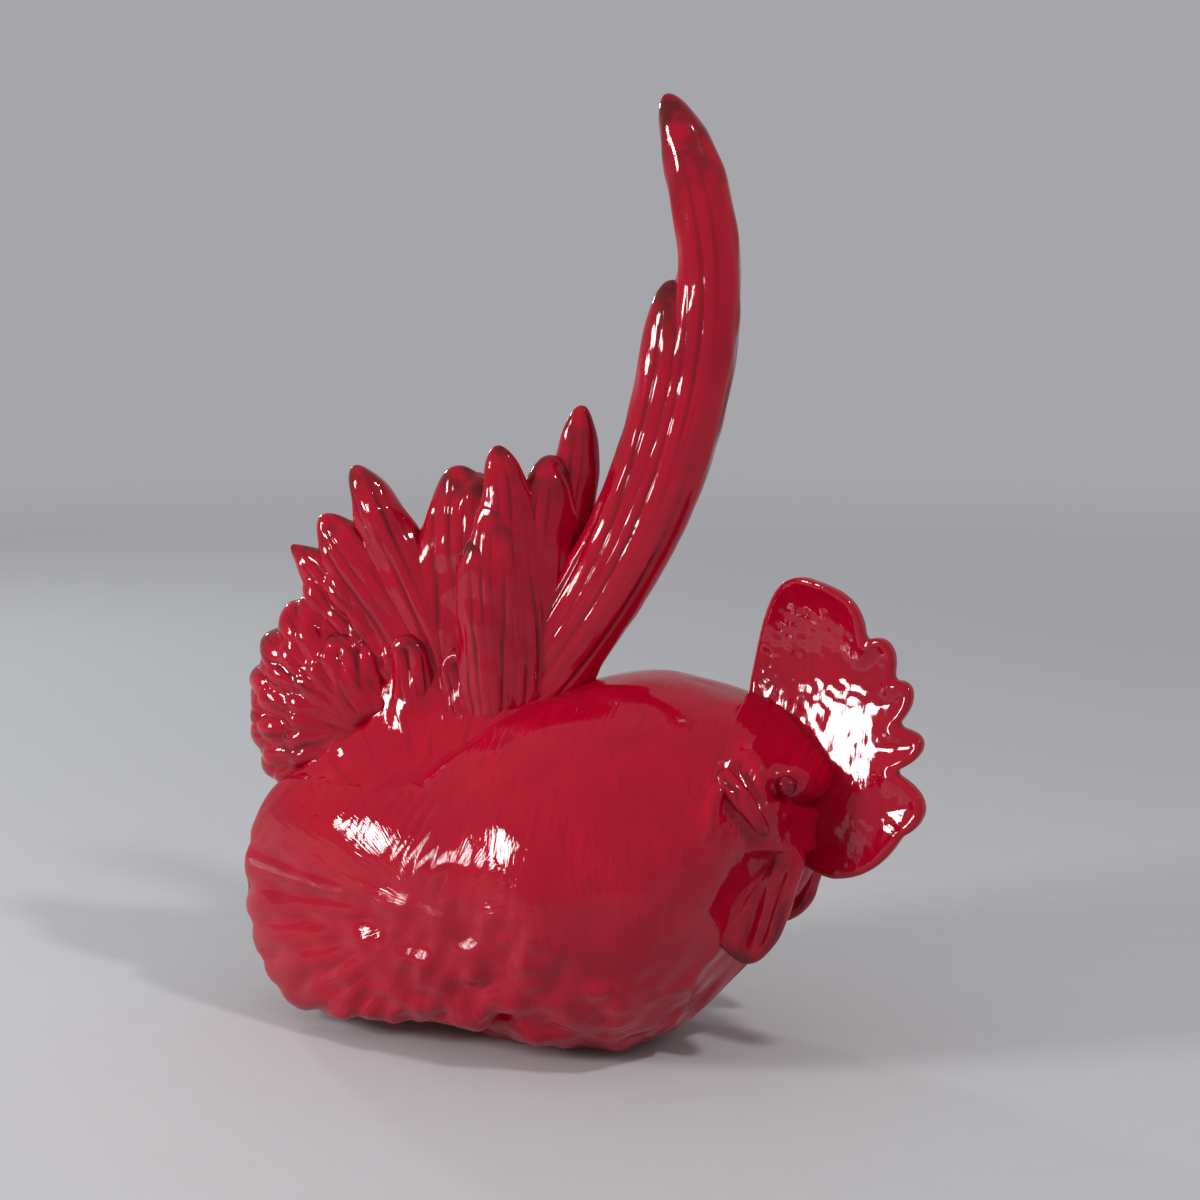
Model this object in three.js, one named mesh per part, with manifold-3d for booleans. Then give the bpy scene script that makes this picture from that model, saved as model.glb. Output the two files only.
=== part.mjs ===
// Crouching rooster ornament in glazed ceramic, millimetres, +Z up, head toward +X
// A hollow cast body carries wings, tail feathers, comb, wattles, ears and eyes luted on with slip
import * as THREE from "three";
import { mergeVertices } from "three/addons/utils/BufferGeometryUtils.js";
import Module from "manifold-3d";

// Driving dimensions of the body
const seam = 0.3;
const wall = 6;
const bodyRear = -146;
const bodyFront = 111;
const bodyTop = 159;
const bodyHalfWidth = 74;
const bellyHeight = 76;
const headHeight = 120;
const ventRadius = 15;
const ventX = -22;

// Driving dimensions of the wings
const wingHalfSpan = 75;
const wingRearSpan = 30;
const wingBulge = 4;
const wingRimThickness = 8;
const wingRidges = 26;
const wingRidgeDepth = 1.8;

// Driving dimensions of the tail
const tailX = -62;
const moundLength = 110;
const moundWidth = 54;
const moundRise = 22;
const sickleHeight = 270;
const sickleWidth = 26;
const sickleThickness = 24;
const plumeWidth = 22;
const plumeThickness = 22;
const rumpFeathers = 5;
const rumpReach = 68;
const rumpWidth = 27;
const rumpThickness = 34;
const covertWidth = 19;
const covertThickness = 14;
const covertOffset = 12;

// Driving dimensions of the head pieces
const combThickness = 12;
const combRound = 4;
const combReach = 58;
const combNotch = 51;
const combLobes = 4;
const combTurn = 12;
const wattleLength = 58;
const wattleWidth = 29;
const wattleThickness = 11;
const wattleSpread = 22;
const eyeRadius = 3.6;
const earLength = 28;
const earWidth = 9;

const crimson = 0xb00426;
const deepCrimson = 0x8a031e;
const glazeRoughness = 0.06;

const wasm = await Module();
wasm.setup();

// Solids and cuts

function toSolid(geometry) {
  geometry.deleteAttribute("normal");
  geometry.deleteAttribute("uv");
  const merged = mergeVertices(geometry, 1e-4);
  return new wasm.Manifold(new wasm.Mesh({
    numProp: 3,
    vertProperties: new Float32Array(merged.attributes.position.array),
    triVerts: new Uint32Array(merged.index.array),
  }));
}

function toGeometry(solid) {
  const mesh = solid.getMesh();
  const geometry = new THREE.BufferGeometry();
  geometry.setAttribute("position", new THREE.BufferAttribute(mesh.vertProperties, 3));
  geometry.setIndex(new THREE.BufferAttribute(mesh.triVerts, 1));
  geometry.computeVertexNormals();
  return geometry;
}

function largestPiece(solid) {
  const pieces = solid.decompose();
  return pieces.reduce((best, piece) => (piece.volume() > best.volume() ? piece : best));
}

function cutBy(solid, cutters) {
  return largestPiece(cutters.reduce((rest, cutter) => rest.subtract(cutter), solid));
}

// Skin over rings of points, closed at both ends by a pole
function skin(startPole, rings, endPole) {
  const count = rings[0].length;
  const faces = [];
  const end = 1 + (rings.length - 1) * count;
  for (let i = 0; i < count; i += 1) {
    const next = (i + 1) % count;
    faces.push(0, 1 + next, 1 + i);
    for (let a = 1; a < end; a += count) {
      faces.push(a + i, a + next, a + count + i);
      faces.push(a + next, a + count + next, a + count + i);
    }
    faces.push(end + i, end + next, end + count);
  }
  const geometry = new THREE.BufferGeometry().setFromPoints([startPole, ...rings.flat(), endPole]);
  geometry.setIndex(faces);
  return toSolid(geometry);
}

function ellipsoid(centre, radii, grow, sides) {
  const ball = new THREE.SphereGeometry(1, sides, sides / 2);
  ball.scale(radii.x + grow, radii.y + grow, radii.z + grow);
  ball.translate(centre.x, centre.y, centre.z);
  return toSolid(ball);
}

function mirrored(solid) {
  return solid.mirror([0, 1, 0]);
}

// Body, lofted along guide lines through its stations

const bodyMiddle = (bodyRear + bodyFront) / 2;

// Stations from rear to front: x, back line, widest height, underside, half-width,
// and how sharply the lower half of the section narrows, 1 for an ellipse
const stations = [
  [bodyRear, 62, 60, 58, 0, 1],
  [bodyRear + 6, 86, 60, 26, 12, 1],
  [-112, 106, 62, 12, 30, 0.95],
  [-70, 125, 67, 1, 46, 0.9],
  [-26, bodyTop - 14, bellyHeight - 4, -3, bodyHalfWidth - 10, 0.85],
  [14, bodyTop - 1, bellyHeight - 2, -1, bodyHalfWidth, 0.9],
  [46, bodyTop, bellyHeight + 6, 10, bodyHalfWidth - 4, 1.1],
  [79, bodyTop - 10, headHeight - 14, 46, bodyHalfWidth - 22, 2.6],
  [bodyFront - 11, bodyTop - 22, headHeight - 3, 82, 33, 2.4],
  [bodyFront, headHeight + 4, headHeight, headHeight - 4, 0, 1],
];

function guide(column) {
  return new THREE.SplineCurve(stations.map((row) => new THREE.Vector2(row[0], row[column])));
}

const backLine = guide(1);
const waistLine = guide(2);
const undersideLine = guide(3);
const planLine = guide(4);
const narrowing = guide(5);

function bodyRing(t, grow, sides) {
  const centre = waistLine.getPoint(t);
  const up = backLine.getPoint(t).y - centre.y + grow;
  const down = centre.y - undersideLine.getPoint(t).y + grow;
  const half = Math.max(planLine.getPoint(t).y, 0) + grow;
  const x = centre.x + (grow * (centre.x - bodyMiddle)) / (bodyFront - bodyMiddle);
  const power = narrowing.getPoint(t).y;
  return Array.from({ length: sides }, (_, i) => {
    const angle = (2 * Math.PI * i) / sides;
    const rise = Math.sin(angle);
    const reach = Math.cos(angle);
    const share = rise < 0 ? Math.sign(reach) * Math.abs(reach) ** power : reach;
    return new THREE.Vector3(x, half * share, centre.y + rise * (rise > 0 ? up : down));
  });
}

function bodySkin(grow, sides, steps) {
  const rings = [];
  for (let i = 1; i < steps; i += 1) {
    rings.push(bodyRing(0.5 - 0.5 * Math.cos((Math.PI * i) / steps), grow, sides));
  }
  const rear = new THREE.Vector3(bodyRear - grow, 0, waistLine.getPoint(0).y);
  const front = new THREE.Vector3(bodyFront + grow, 0, headHeight);
  return skin(rear, rings, front);
}

function outerSkin(grow) {
  return bodySkin(grow, 36, 24);
}

// Place along the guides whose section stands at x
function stationAt(x) {
  let low = 0;
  let high = 1;
  for (let i = 0; i < 30; i += 1) {
    const middle = (low + high) / 2;
    if (waistLine.getPoint(middle).x < x) low = middle;
    else high = middle;
  }
  return low;
}

// Distance of the body's surface from the middle plane at x and height z
function flankAt(x, z) {
  const t = stationAt(x);
  const centre = waistLine.getPoint(t).y;
  const limit = (z > centre ? backLine : undersideLine).getPoint(t).y;
  const rise = Math.min(Math.abs((z - centre) / (limit - centre)), 0.98);
  const power = z > centre ? 1 : narrowing.getPoint(t).y;
  return planLine.getPoint(t).y * Math.sqrt(1 - rise * rise) ** power;
}

function cavity() {
  const shrink = [
    1 - (2 * wall) / (bodyFront - bodyRear),
    1 - wall / bodyHalfWidth,
    1 - (2 * wall) / bodyTop,
  ];
  const middle = [bodyMiddle, 0, bodyTop / 2];
  const inner = bodySkin(0, 18, 12).translate(middle.map((value) => -value));
  return inner.scale(shrink).translate(middle);
}

function ventHole() {
  const drill = new THREE.CylinderGeometry(ventRadius, ventRadius, 4 * wall, 24);
  drill.rotateX(Math.PI / 2);
  drill.translate(ventX, 0, 0);
  return toSolid(drill);
}

function belowFloor() {
  const depth = 60;
  const block = new THREE.BoxGeometry(3 * bodyTop, 3 * bodyTop, depth);
  block.translate(bodyMiddle, 0, -depth / 2);
  return toSolid(block);
}

// Eyes, each a bead seated in a hollow of the body

const eyeX = bodyFront - 14;
const eyeZ = headHeight + 5;
const eyeY = flankAt(eyeX, eyeZ);

function eyeHollow() {
  return ellipsoid(new THREE.Vector3(eyeX - 1, eyeY + 2, eyeZ), new THREE.Vector3(10, 5, 7), 0, 16);
}

function eye(grow) {
  const radii = new THREE.Vector3(eyeRadius, eyeRadius, eyeRadius);
  return ellipsoid(new THREE.Vector3(eyeX, eyeY - 0.5, eyeZ), radii, grow, 12);
}

// Wings, each a fan of ridges on a wall that tapers to the rear and ends in a scalloped rim

// Distance of the wing's outer wall from the middle plane
function wingWall(x) {
  const share = (x - bodyRear) / -bodyRear;
  const bulge = wingBulge * Math.sin(Math.PI * Math.min(1, share));
  return THREE.MathUtils.lerp(wingRearSpan, wingHalfSpan, share) + bulge;
}

const wingPole = new THREE.Vector3(-42, wingWall(-42), 68);
const wingRim = new THREE.CatmullRomCurve3([
  new THREE.Vector3(bodyRear + 48, 19, 110),
  new THREE.Vector3(bodyRear + 15, 20, 102),
  new THREE.Vector3(bodyRear - 3, 17, 81),
  new THREE.Vector3(bodyRear - 7, 16, 50),
  new THREE.Vector3(bodyRear + 1, 18, 22),
  new THREE.Vector3(bodyRear + 24, 26, 5),
  new THREE.Vector3(-72, 39, 9),
  new THREE.Vector3(-36, 46, 12),
  new THREE.Vector3(-8, bodyHalfWidth - 18, 28),
  new THREE.Vector3(15, bodyHalfWidth - 8, 56),
  new THREE.Vector3(16, bodyHalfWidth - 8, 84),
  new THREE.Vector3(-14, 58, 106),
  new THREE.Vector3(-62, 34, 114),
], true);

function wing(grow) {
  const sides = wingRidges * 2;
  const rim = Array.from({ length: sides }, (_, i) => {
    const point = wingRim.getPoint(i / sides);
    const fade = THREE.MathUtils.clamp((wingPole.x + 40 - point.x) / 60, 0.25, 1);
    const groove = (i % 2) * fade;
    const out = new THREE.Vector3(point.x - wingPole.x, 0, point.z - wingPole.z).normalize();
    return { groove, point: point.addScaledVector(out, grow - wingRidgeDepth * groove) };
  });
  const levels = [0.3, 0.55, 0.75, 0.9, 0.98];
  const domed = levels.map((level) => rim.map(({ groove, point }) => {
    const dome = (1 - level ** 3) ** 0.55;
    const relief = wingRidgeDepth * groove * Math.min(1, 2 * level * level);
    const place = wingPole.clone().lerp(point, level);
    return place.setY(point.y + (wingWall(place.x) - point.y) * dome - relief + grow);
  }));
  const edge = rim.map(({ point }) => point);
  const back = edge.map((point) => point.clone().setY(point.y - wingRimThickness - grow));
  const pole = wingPole.clone().setY(wingPole.y + grow);
  const backPole = wingPole.clone().setY(wingPole.y * 0.4);
  return skin(pole, [...domed, edge, back], backPole);
}

// Tail mound, the base on the back that carries the feathers

const tailZ = backLine.getPoint(stationAt(tailX)).y;

function mound(grow) {
  const centre = new THREE.Vector3(tailX + 4, 0, tailZ - 3);
  const radii = new THREE.Vector3(moundLength / 2, moundWidth / 2, moundRise);
  return ellipsoid(centre, radii, grow, 20);
}

// Feathers, each a fluted blade swept from the mound to a round tip

// Point measured from the crown of the mound
function tailPoint(x, z, y = 0) {
  return new THREE.Vector3(tailX + x, y, tailZ + z);
}

// Share of the full width along a blade, which grows from the root and closes over its point
function swell(t, rootShare, point) {
  const body = rootShare + (1 - rootShare) * Math.sin(Math.PI * Math.min(0.5, 0.1 + 0.75 * t));
  const tip = Math.max(0, (t + point - 1) / point);
  return body * (1 - tip ** 2) ** (0.5 + 0.25 * point);
}

function blade(form, grow) {
  const { spine, width, thickness, rootShare = 0.5, point = 0.15, sides = 8, steps = 7 } = form;
  const rings = [];
  for (let i = 0; i < steps; i += 1) {
    const t = Math.sin((Math.PI / 2) * ((i + 0.15) / (steps - 0.35)));
    const centre = spine.getPoint(t);
    const along = spine.getTangent(t);
    const across = new THREE.Vector3(along.z, 0, -along.x).normalize();
    const outward = new THREE.Vector3().crossVectors(along, across).normalize();
    const share = swell(t, rootShare, point);
    rings.push(Array.from({ length: sides }, (_, k) => {
      const angle = (2 * Math.PI * k) / sides;
      const fluting = 1 + 0.06 * Math.cos(4 * angle);
      const wide = (width / 2) * share * fluting + grow;
      const deep = (thickness / 2) * share * fluting + grow;
      return centre.clone()
        .addScaledVector(across, wide * Math.cos(angle))
        .addScaledVector(outward, deep * Math.sin(angle));
    }));
  }
  const start = spine.getPoint(0).addScaledVector(spine.getTangent(0), -grow);
  const end = spine.getPoint(1).addScaledVector(spine.getTangent(1), grow);
  return skin(start, rings, end);
}

// Spine from root to tip, its middle bowed toward the head
function bowed(root, tip, bow) {
  const along = tip.clone().sub(root).normalize();
  const side = new THREE.Vector3(along.z, 0, -along.x);
  const middle = root.clone().add(tip).multiplyScalar(0.5).addScaledVector(side, 2 * bow);
  return new THREE.QuadraticBezierCurve3(root, middle, tip);
}

const longSickle = {
  name: "sickle_long",
  spine: new THREE.CubicBezierCurve3(
    tailPoint(22, -8),
    tailPoint(86, 0.24 * sickleHeight),
    tailPoint(149, 0.62 * sickleHeight),
    tailPoint(96, sickleHeight),
  ),
  width: sickleWidth,
  thickness: sickleThickness,
  sides: 16,
  steps: 18,
};

const shortSickle = {
  name: "sickle_short",
  spine: new THREE.CubicBezierCurve3(
    tailPoint(14, -6),
    tailPoint(60, 54),
    tailPoint(103, 128),
    tailPoint(98, 0.72 * sickleHeight),
  ),
  width: sickleWidth - 3,
  thickness: sickleThickness - 3,
  sides: 12,
  steps: 12,
};

function plume(number, root, tip, bow, point, extra = 0) {
  const width = plumeWidth + extra;
  return { name: `plume_${number}`, spine: bowed(root, tip, bow), width, thickness: plumeThickness, point };
}

const plumes = [
  plume(1, tailPoint(30, 0), tailPoint(46, 121), 3, 0.2),
  plume(2, tailPoint(22, 0), tailPoint(15, 112), 0, 0.2),
  plume(3, tailPoint(8, 0), tailPoint(5, 116), 0, 0.36, 14),
  plume(4, tailPoint(12, 0), tailPoint(-43, 115), 3, 0.34, 8),
  plume(5, tailPoint(6, 0), tailPoint(-59, 92), 4, 0.34, 6),
  plume(6, tailPoint(0, -2), tailPoint(-74, 79), 3, 0.42, 6),
];

// Rump feathers fan out behind the mound
const rumpFan = tailPoint(-30, 1);

function rumpForm(name, degrees, reach, y, thickness) {
  const turn = THREE.MathUtils.degToRad(degrees);
  const tip = rumpFan.clone().add(new THREE.Vector3(reach * Math.cos(turn), y, reach * Math.sin(turn)));
  const root = rumpFan.clone().setY(y).lerp(tip, 0.1);
  return { name, spine: bowed(root, tip, 0), width: rumpWidth, thickness, point: 0.34, steps: 6 };
}

const rumps = Array.from({ length: rumpFeathers }, (_, i) => (
  rumpForm(`rump_${i + 1}`, 130 + (72 * i) / (rumpFeathers - 1), rumpReach - 1.5 * i, 0, rumpThickness)
));

// Coverts lie on the sides of the tail, as a set for each side
function covert(name, root, tip, bow, out) {
  const y = covertOffset + out;
  return {
    name,
    spine: bowed(root.setY(y), tip.setY(y), bow),
    width: covertWidth,
    thickness: covertThickness,
  };
}

function covertSet(side, tallTip) {
  const set = [
    covert(`covert_${side}_1`, tailPoint(36, 2), tallTip, 3, 0),
    covert(`covert_${side}_2`, tailPoint(28, 0), tailPoint(27, 102), 0, 3),
    covert(`covert_${side}_3`, tailPoint(24, 0), tailPoint(19, 86), 0, 5),
    covert(`covert_${side}_4`, tailPoint(22, -4), tailPoint(19, 36), 0, 7),
    covert(`covert_${side}_5`, tailPoint(-6, -4), tailPoint(-11, 43), 0, 4),
  ];
  for (let i = 0; i < rumpFeathers - 1; i += 1) {
    const name = `covert_${side}_${6 + i}`;
    const degrees = 118 + (75 * i) / (rumpFeathers - 2);
    set.push(rumpForm(name, degrees, 0.64 * rumpReach, covertOffset + 2, covertThickness));
  }
  return set;
}

const rightCoverts = covertSet("right", tailPoint(27, 127));
const leftCoverts = covertSet("left", tailPoint(57, 142));

// Comb, an upright plate round the front of the head, its lobes turned a little to the right

const combX = bodyFront - 14;
const combZ = headHeight + 18;

function combPoint(degrees, reach) {
  const turn = THREE.MathUtils.degToRad(degrees);
  return new THREE.Vector2(combX + reach * Math.cos(turn), combZ + reach * Math.sin(turn));
}

function comb(grow) {
  const outline = new THREE.Shape();
  const step = 90 / combLobes;
  const crown = combReach / (1 - 0.25 * (1 - combNotch / combReach));
  outline.moveTo(combX - 25, combZ - 20);
  outline.lineTo(combX - 32, combZ + 10);
  outline.bezierCurveTo(combX - 31, combZ + 40, combX - 22, combZ + 66, combX - 3, combZ + 66);
  const notch = combPoint(58, combNotch);
  outline.bezierCurveTo(combX + 14, combZ + 65, notch.x - 4, notch.y + 22, notch.x, notch.y);
  for (let i = 0; i < combLobes; i += 1) {
    const near = combPoint(58 - step * (i + 0.3), crown + 3);
    const far = combPoint(58 - step * (i + 0.7), crown + 3);
    const end = i < combLobes - 1 ? combPoint(58 - step * (i + 1), combNotch) : combPoint(-32, combReach);
    outline.bezierCurveTo(near.x, near.y, far.x, far.y, end.x, end.y);
  }
  outline.quadraticCurveTo(combX + 40, combZ - 52, combX + 18, combZ - 55);
  outline.quadraticCurveTo(combX + 6, combZ - 54, combX - 10, combZ - 44);
  outline.closePath();
  const plate = new THREE.ExtrudeGeometry(outline, {
    depth: combThickness - 2 * combRound,
    bevelThickness: combRound + grow,
    bevelSize: combRound,
    bevelOffset: grow - combRound,
    bevelSegments: 2,
    curveSegments: 4,
  });
  plate.rotateX(Math.PI / 2);
  plate.translate(-combX, combThickness / 2 - combRound, 0);
  plate.rotateZ(-THREE.MathUtils.degToRad(combTurn));
  plate.translate(combX, 0, 0);
  return toSolid(plate);
}

// Wattles hang from the throat, and ears lie on the cheeks

const wattleTop = new THREE.Vector3(bodyFront - 20, wattleSpread - 2, headHeight - 19);

function wattle(grow) {
  const tip = wattleTop.clone().add(new THREE.Vector3(-0.26 * wattleLength, 4, -0.96 * wattleLength));
  const spine = bowed(wattleTop.clone(), tip, 2);
  const size = { width: wattleWidth, thickness: wattleThickness, sides: 12 };
  return blade({ spine, ...size, rootShare: 0.4, point: 0.35 }, grow);
}

function earPoint(x, z) {
  return new THREE.Vector3(x, flankAt(x, z) + 0.5, z);
}

function ear(grow) {
  const top = earPoint(eyeX - 20, eyeZ + 7);
  const low = earPoint(eyeX - 10, eyeZ + 7 - earLength);
  const middle = earPoint(eyeX - 25, eyeZ - 12);
  const spine = new THREE.QuadraticBezierCurve3(top, middle, low);
  return blade({ spine, width: earWidth, thickness: earWidth, rootShare: 0.4 }, grow);
}

// Assembly: each piece is cut where the pieces before it stand, a slip seam apart

const rooster = new THREE.Group();
const placed = [];

function touches(a, b) {
  return a.min.every((low, axis) => low < b.max[axis] && b.min[axis] < a.max[axis]);
}

function place(name, solid, grown, colour) {
  const near = placed.filter((other) => touches(other.boundingBox(), solid.boundingBox()));
  const material = new THREE.MeshStandardMaterial({ color: colour, roughness: glazeRoughness, metalness: 0 });
  const mesh = new THREE.Mesh(toGeometry(cutBy(solid, near)), material);
  mesh.name = name;
  rooster.add(mesh);
  placed.push(grown);
}

function placePair(name, form, colour) {
  place(`${name}_right`, mirrored(form(0)), mirrored(form(seam)), colour);
  place(`${name}_left`, form(0), form(seam), colour);
}

const hollows = [belowFloor(), cavity(), ventHole(), eyeHollow(), mirrored(eyeHollow())];
place("body_shell", cutBy(outerSkin(0), hollows), outerSkin(seam), crimson);
place("tail_mound", mound(0), mound(seam), crimson);
placePair("wing", wing, crimson);
place("comb", comb(0), comb(seam), crimson);
placePair("wattle", wattle, crimson);
placePair("ear", ear, crimson);
placePair("eye", eye, deepCrimson);

for (const form of [longSickle, shortSickle, ...plumes, ...rumps]) {
  place(form.name, blade(form, 0), blade(form, seam), crimson);
}
for (const form of rightCoverts) {
  place(form.name, mirrored(blade(form, 0)), mirrored(blade(form, seam)), crimson);
}
for (const form of leftCoverts) {
  place(form.name, blade(form, 0), blade(form, seam), crimson);
}

export default rooster;
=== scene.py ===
import math

import bpy
import numpy as np
from mathutils.bvhtree import BVHTree
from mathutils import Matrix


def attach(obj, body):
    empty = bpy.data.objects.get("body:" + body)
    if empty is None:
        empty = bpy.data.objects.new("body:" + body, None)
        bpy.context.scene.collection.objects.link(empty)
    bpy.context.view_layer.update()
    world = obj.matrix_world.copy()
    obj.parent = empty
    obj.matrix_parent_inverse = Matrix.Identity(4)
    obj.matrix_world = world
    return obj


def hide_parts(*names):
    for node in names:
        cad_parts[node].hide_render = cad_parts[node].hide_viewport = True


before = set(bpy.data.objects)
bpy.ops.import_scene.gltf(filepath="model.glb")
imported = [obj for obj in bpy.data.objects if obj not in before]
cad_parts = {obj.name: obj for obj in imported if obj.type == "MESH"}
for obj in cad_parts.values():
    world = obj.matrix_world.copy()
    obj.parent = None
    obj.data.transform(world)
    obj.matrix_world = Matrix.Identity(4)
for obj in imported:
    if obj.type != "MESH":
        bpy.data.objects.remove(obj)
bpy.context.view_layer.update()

MM = 0.001
BODY_REAR, BODY_FRONT, BODY_TOP = -146, 111, 159
BODY_HALF_WIDTH, BELLY_HEIGHT, HEAD_HEIGHT = 74, 76, 120
VENT_RADIUS, VENT_X, VENT_DEPTH, FOOT_HEIGHT = 15, -22, 60, 0.3
HOLLOW_MIDDLE, HOLLOW_SHARE = (-12, 0, 74), (0.88, 0.84, 0.84)
WING_HALF_SPAN, WING_REAR_SPAN, WING_BULGE, WING_RIM, WING_RIDGES = 75, 30, 4, 8, 26
WING_POLE_X, WING_POLE_Z, SHOULDER_Z, SHOULDER_ROUND = -42, 68, 92, 120
FILLET_LOW, FILLET_TOP, FILLET_BREAST = 5, 15, 8
TAIL_X, SICKLE_HEIGHT, PLUME_DEPTH = -62, 270, 22
MOUND_X, MOUND_HALF_LENGTH, MOUND_HALF_WIDTH, MOUND_HEIGHT = TAIL_X - 15, 68, 46, 64
MOUND_SUNK, MOUND_SKIRT, MOUND_RIDGES = 1.6, 7, 50
COVERT_OFFSET, RUMP_REACH, RUMP_WIDTH = 12, 68, 27
RUMP_START, RUMP_STEP, RUMP_DEPTH, SIDE_START, SIDE_STEP, SIDE_DEPTH = 130, 18, 34, 118, 25, 14
COMB_THICKNESS, COMB_REACH, COMB_NOTCH, COMB_LOBES, COMB_TURN = 12, 58, 51, 4, 12
COMB_X, COMB_Z = BODY_FRONT - 14, HEAD_HEIGHT + 18
LOBE_START, LOBE_STEP, RIM_THINNED = 58, 90 / COMB_LOBES, 0.42
CUP_DEPTH, CUP_LENGTH, CUP_SHIFT, COMB_SLANT, COMB_BOW = 7.8, 155, 2.6, 0.15, 0.0015
EYE_X, EYE_Z, EYE_RADIUS, EYE_PROUD = BODY_FRONT - 14, HEAD_HEIGHT + 5, 3.9, 1.3
EYE_LID = (1.2, 1.12, 1.1)
WATTLE_LENGTH, WATTLE_SPREAD, WATTLE_WIDTH, WATTLE_DEPTH = 58, 22, 29, 12
EAR_WIDTH, EAR_DEPTH, EAR_SUNK = 8, 7, 0.4
SLIP_REACH, HEAD_SLIP_REACH = 12, 6

# Depth of the marks in the clay, with their spacing or width
STROKE_DEPTH, STROKE_SPACING, FINE_STROKE_DEPTH, FINE_STROKE_SPACING = 0.62, 7.2, 0.42, 5
PRESSED_DEPTH, VALLEY_DEPTH, VALLEY_WIDTH, WING_GROOVE_DEPTH, MOUND_GROOVE_DEPTH = 1.4, 4.2, 7, 2.5, 1.2
SCALE_TURN, SCALE_HEIGHT, SCALE_SUNK, HOOD_DEPTH = 14, 3.2, 1.2, 2.4
LEAF_BORDER_HEIGHT, LEAF_HOLLOW_DEPTH, LEAF_GROOVE_DEPTH = 1, 4, 1.4
DISH_DEPTH, RIM_ROLL_HEIGHT, SEAM_DEPTH = 1.6, 0.5, 0.7

SIDES = (("right", -1), ("left", 1))
HEAD_PIECES = ("ear", "wattle")
LINE_STEPS = 600
CURVE = np.linspace(0, 1, 24)

# Body stations: x, back line, widest height, underside, half-width, narrowing of the lower half
STATIONS = [
    (BODY_REAR, 62, 60, 58, 0, 1),
    (BODY_REAR + 6, 86, 60, 26, 12, 1),
    (-112, 106, 62, 12, 30, 0.95),
    (-70, 125, 67, 1, 46, 0.9),
    (-26, BODY_TOP - 14, BELLY_HEIGHT - 4, -3, BODY_HALF_WIDTH - 10, 0.85),
    (14, BODY_TOP - 1, BELLY_HEIGHT - 2, -1, BODY_HALF_WIDTH, 0.9),
    (46, BODY_TOP, BELLY_HEIGHT + 6, 10, BODY_HALF_WIDTH - 4, 1.1),
    (79, BODY_TOP - 10, HEAD_HEIGHT - 14, 46, BODY_HALF_WIDTH - 22, 2.6),
    (BODY_FRONT - 11, BODY_TOP - 22, HEAD_HEIGHT - 3, 82, 33, 2.4),
    (BODY_FRONT, HEAD_HEIGHT + 4, HEAD_HEIGHT, HEAD_HEIGHT - 4, 0, 1),
]

# How high the wing's shoulder turns inward: x, height
WING_SHOULDER = [(-125, 88), (-99, 84), (-76, 73), (-54, 68), (-29, 67), (4, 69), (40, 72)]

# Wing rim, round from the top at the back: x, distance from the middle plane, height
WING_RIM_POINTS = [
    (BODY_REAR + 48, 21, 115), (BODY_REAR + 15, 20, 107), (BODY_REAR - 3, 17, 83),
    (BODY_REAR - 7, 16, 50), (BODY_REAR + 1, 18, 22), (BODY_REAR + 24, 26, 5),
    (-72, 39, 9), (-36, 46, 12), (-8, 56, 28),
    (15, 66, 56), (16, 66, 84), (-14, 58, 106), (-62, 34, 114),
]

# Lobes of the comb from the crown down: how far the edge's handles stand beyond the comb's reach, and
# the end of each lobe beyond the notches' reach
LOBES = [(1, -4), (-1, -8), (2, -7), (9, 9)]


# Small tools

def clear():
    """Lets go of everything, so that an operator acts on the new piece alone"""
    bpy.ops.object.select_all(action="DESELECT")


def points_of(piece):
    """Places of the piece's vertices in millimetres, one row for each"""
    flat = np.empty(len(piece.data.vertices) * 3, np.float32)
    piece.data.vertices.foreach_get("co", flat)
    return flat.reshape(-1, 3).astype(float) / MM


def set_points(piece, points):
    """Moves the piece's vertices to the places given in millimetres"""
    piece.data.vertices.foreach_set("co", (np.asarray(points) * MM).astype(np.float32).ravel())
    piece.data.update()


def normals_of(piece):
    """Outward direction of the skin at each vertex"""
    flat = np.empty(len(piece.data.vertices) * 3, np.float32)
    piece.data.vertex_normals.foreach_get("vector", flat)
    return flat.reshape(-1, 3).astype(float)


def apply(piece, kind, **settings):
    """Adds one modifier to the piece and applies it"""
    clear()
    piece.select_set(True)
    bpy.context.view_layer.objects.active = piece
    modifier = piece.modifiers.new(kind.lower(), kind)
    for name, value in settings.items():
        setattr(modifier, name, value)
    bpy.ops.object.modifier_apply(modifier=modifier.name)


def smooth(piece, levels):
    """Rounds the piece, with four faces for each one at every level"""
    apply(piece, "SUBSURF", levels=levels, render_levels=levels)


def mirrored(piece, name):
    """A copy of the piece for the other side"""
    clear()
    piece.select_set(True)
    bpy.context.view_layer.objects.active = piece
    bpy.ops.object.duplicate()
    copy = bpy.context.object
    copy.name = copy.data.name = name
    set_points(copy, points_of(copy) * (1, -1, 1))
    copy.data.flip_normals()
    return copy


def ramp(value, low, high):
    """0 below low, 1 above high, and a soft rise between them"""
    share = np.clip((np.asarray(value, float) - low) / (high - low), 0, 1)
    return share * share * (3 - 2 * share)


def lumps(points, size, seed):
    """Soft uneven swellings of about one size, from -1 to 1, as a hand leaves them in clay"""
    chance = np.random.default_rng(seed)
    turns = chance.normal(size=(7, 3))
    turns *= (2 * math.pi / size) / np.linalg.norm(turns, axis=1)[:, None]
    waves = np.sin(points @ turns.T + chance.uniform(0, 2 * math.pi, 7))
    return waves.sum(axis=1) / 3.2


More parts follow.
